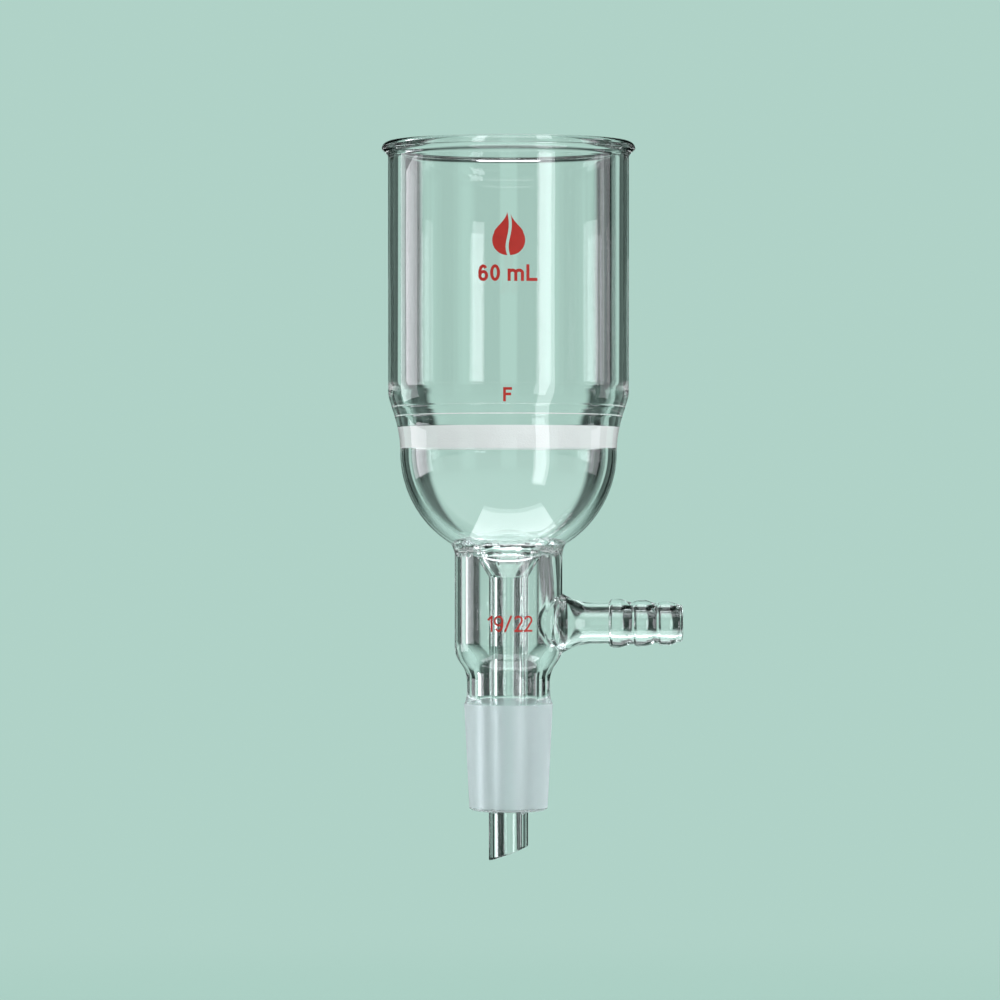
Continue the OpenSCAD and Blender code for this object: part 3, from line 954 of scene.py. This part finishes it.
def hide_through_walls(data):
    """Keep a lamp out of a straight look through a wall of glass, as it is kept from the camera."""
    data.use_nodes = True
    tree = data.node_tree
    path = tree.nodes.new("ShaderNodeLightPath").outputs
    one_surface = calc(tree, "LESS_THAN", path["Transmission Depth"], 1 + MARGIN)
    mirrored = calc(tree, "GREATER_THAN", path["Glossy Depth"], MARGIN)
    shown = calc(tree, "MAXIMUM", one_surface, mirrored)
    tree.links.new(shown, tree.nodes["Emission"].inputs["Strength"])


def lamp_pair(name, size, radiance, matrix):
    """One soft lamp as two: the first mirrors in the glass and the second lights the rest."""
    mirrored = soft_lamp(name, size, radiance, matrix)
    mirrored.visible_diffuse = False
    hide_through_walls(mirrored.data)
    lighting = soft_lamp(name + " light", size, radiance, matrix)
    lighting.visible_glossy = lighting.visible_transmission = False


def upright_lamp(name, azimuth, distance, width, z0, z1, radiance):
    """A lamp that faces the axis. Azimuth 0 is the camera's side, and 90 the side arm's."""
    a = math.radians(azimuth)
    place = Vector((math.sin(a) * distance, -math.cos(a) * distance, (z0 + z1) / 2))
    aim = Vector((0, 0, place.z)) - place
    turn = aim.to_track_quat("-Z", "Y").to_matrix().to_4x4()
    lamp_pair(name, (width, z1 - z0), radiance, Matrix.Translation(place) @ turn)


def flat_lamp(name, place, size, radiance, down=True):
    turn = Matrix.Rotation(0 if down else math.pi, 4, "X")
    lamp_pair(name, size, radiance, Matrix.Translation(place) @ turn)


def floor_material(colour, radius):
    """A pale floor that fades into the backdrop."""
    material, tree, shader = new_material("pale floor")
    shader.inputs["Base Color"].default_value = (*colour, 1)
    shader.inputs["Roughness"].default_value = 0.9
    shader.inputs["Specular IOR Level"].default_value = 0.1
    place = tree.nodes.new("ShaderNodeTexCoord")
    flat = tree.nodes.new("ShaderNodeVectorMath")
    flat.operation = "MULTIPLY"
    flat.inputs[1].default_value = (1, 1, 0)
    tree.links.new(place.outputs["Object"], flat.inputs[0])
    reach = tree.nodes.new("ShaderNodeVectorMath")
    reach.operation = "LENGTH"
    tree.links.new(flat.outputs[0], reach.inputs[0])
    fade = eased(tree, reach.outputs["Value"], radius * 0.12, radius, 1, 0)
    clear = tree.nodes.new("ShaderNodeBsdfTransparent")
    blended_surface(tree, fade, clear, shader)
    return material


def place_camera(distance):
    data = bpy.data.cameras.new("camera")
    data.sensor_width = SENSOR
    data.lens = LENS
    data.clip_start, data.clip_end = 0.01, 50
    camera = bpy.data.objects.new("camera", data)
    bpy.context.scene.collection.objects.link(camera)
    place = Vector((CAMERA_X, -distance, CAMERA_Z))
    aim = Vector((CAMERA_X, 0, AIM_Z)) - place
    turn = aim.to_track_quat("-Z", "Y").to_matrix().to_4x4()
    camera.matrix_world = Matrix.Translation(place) @ turn
    bpy.context.scene.camera = camera


class FUNNEL_OT_stage(bpy.types.Operator):
    """Set the pale floor, the room, the lamps and the camera"""
    bl_idname = "funnel.stage"
    bl_label = "Stage"

    def execute(self, context):
        stage = context.scene.funnel_stage
        colour = tuple(stage.backdrop_colour)
        pale_room(colour)
        floor_z = low("drip_stem").z - stage.floor_gap
        bm = bmesh.new()
        bmesh.ops.create_circle(bm, cap_ends=True, radius=stage.floor_radius, segments=96,
                                matrix=Matrix.Translation((0, 0, floor_z)))
        floor = piece("pale_floor", bm)
        floor.data.materials.append(floor_material(colour, stage.floor_radius))
        for name, azimuth, distance, width, top, radiance in UPRIGHT_LAMPS:
            upright_lamp(name, azimuth, distance, width, floor_z + LAMP_GAP, top, radiance)
        flat_lamp("low panel", (0.018, -0.005, floor_z + PANEL_GAP), (0.2, 0.165), 3.0, down=False)
        flat_lamp("overhead", (0, 0, 1.0), (0.6, 0.6), 2.5)
        place_camera(stage.camera_distance)
        context.scene.view_settings.view_transform = "Standard"
        cycles = context.scene.cycles
        cycles.max_bounces = cycles.transmission_bounces = 32
        cycles.glossy_bounces = 12
        cycles.transparent_max_bounces = 48
        return {"FINISHED"}


class FUNNEL_PT_panel(bpy.types.Panel):
    """Lists the funnel's pieces and sizes in the 3D view's sidebar"""
    bl_idname = "FUNNEL_PT_panel"
    bl_label = "Filter Funnel"
    bl_space_type = "VIEW_3D"
    bl_region_type = "UI"
    bl_category = "Funnel"

    def draw(self, context):
        layout = self.layout
        for group in (context.scene.funnel_glass, context.scene.funnel_arm,
                      context.scene.funnel_finish, context.scene.funnel_stage):
            box = layout.box()
            for label in group.bl_rna.properties.keys():
                if label not in ("rna_type", "name"):
                    box.prop(group, label)
        for operator in OPERATORS:
            layout.operator(operator.bl_idname)


OPERATORS = (
    FUNNEL_OT_bowl_barrel,
    FUNNEL_OT_disc_collar,
    FUNNEL_OT_sintered_disc,
    FUNNEL_OT_bowl_dome,
    FUNNEL_OT_ring_seal,
    FUNNEL_OT_drip_stem,
    FUNNEL_OT_vacuum_jacket,
    FUNNEL_OT_side_arm,
    FUNNEL_OT_hose_nozzle,
    FUNNEL_OT_ground_cone,
    FUNNEL_OT_printed_marks,
    FUNNEL_OT_stage,
)
SETTINGS = (
    ("funnel_glass", FunnelGlass),
    ("funnel_arm", FunnelArm),
    ("funnel_finish", FunnelFinish),
    ("funnel_stage", FunnelStage),
)


def register():
    for name, group in SETTINGS:
        bpy.utils.register_class(group)
        setattr(bpy.types.Scene, name, bpy.props.PointerProperty(type=group))
    for operator in OPERATORS:
        bpy.utils.register_class(operator)
    bpy.utils.register_class(FUNNEL_PT_panel)


def unregister():
    bpy.utils.unregister_class(FUNNEL_PT_panel)
    for operator in reversed(OPERATORS):
        bpy.utils.unregister_class(operator)
    for name, group in reversed(SETTINGS):
        delattr(bpy.types.Scene, name)
        bpy.utils.unregister_class(group)


def main():
    register()
    bpy.ops.funnel.bowl_barrel()
    bpy.ops.funnel.disc_collar()
    bpy.ops.funnel.sintered_disc()
    bpy.ops.funnel.bowl_dome()
    bpy.ops.funnel.ring_seal()
    bpy.ops.funnel.drip_stem()
    bpy.ops.funnel.vacuum_jacket()
    bpy.ops.funnel.side_arm()
    bpy.ops.funnel.hose_nozzle()
    bpy.ops.funnel.ground_cone()
    bpy.ops.funnel.printed_marks()
    bpy.ops.funnel.stage()


if __name__ == "__main__":
    main()
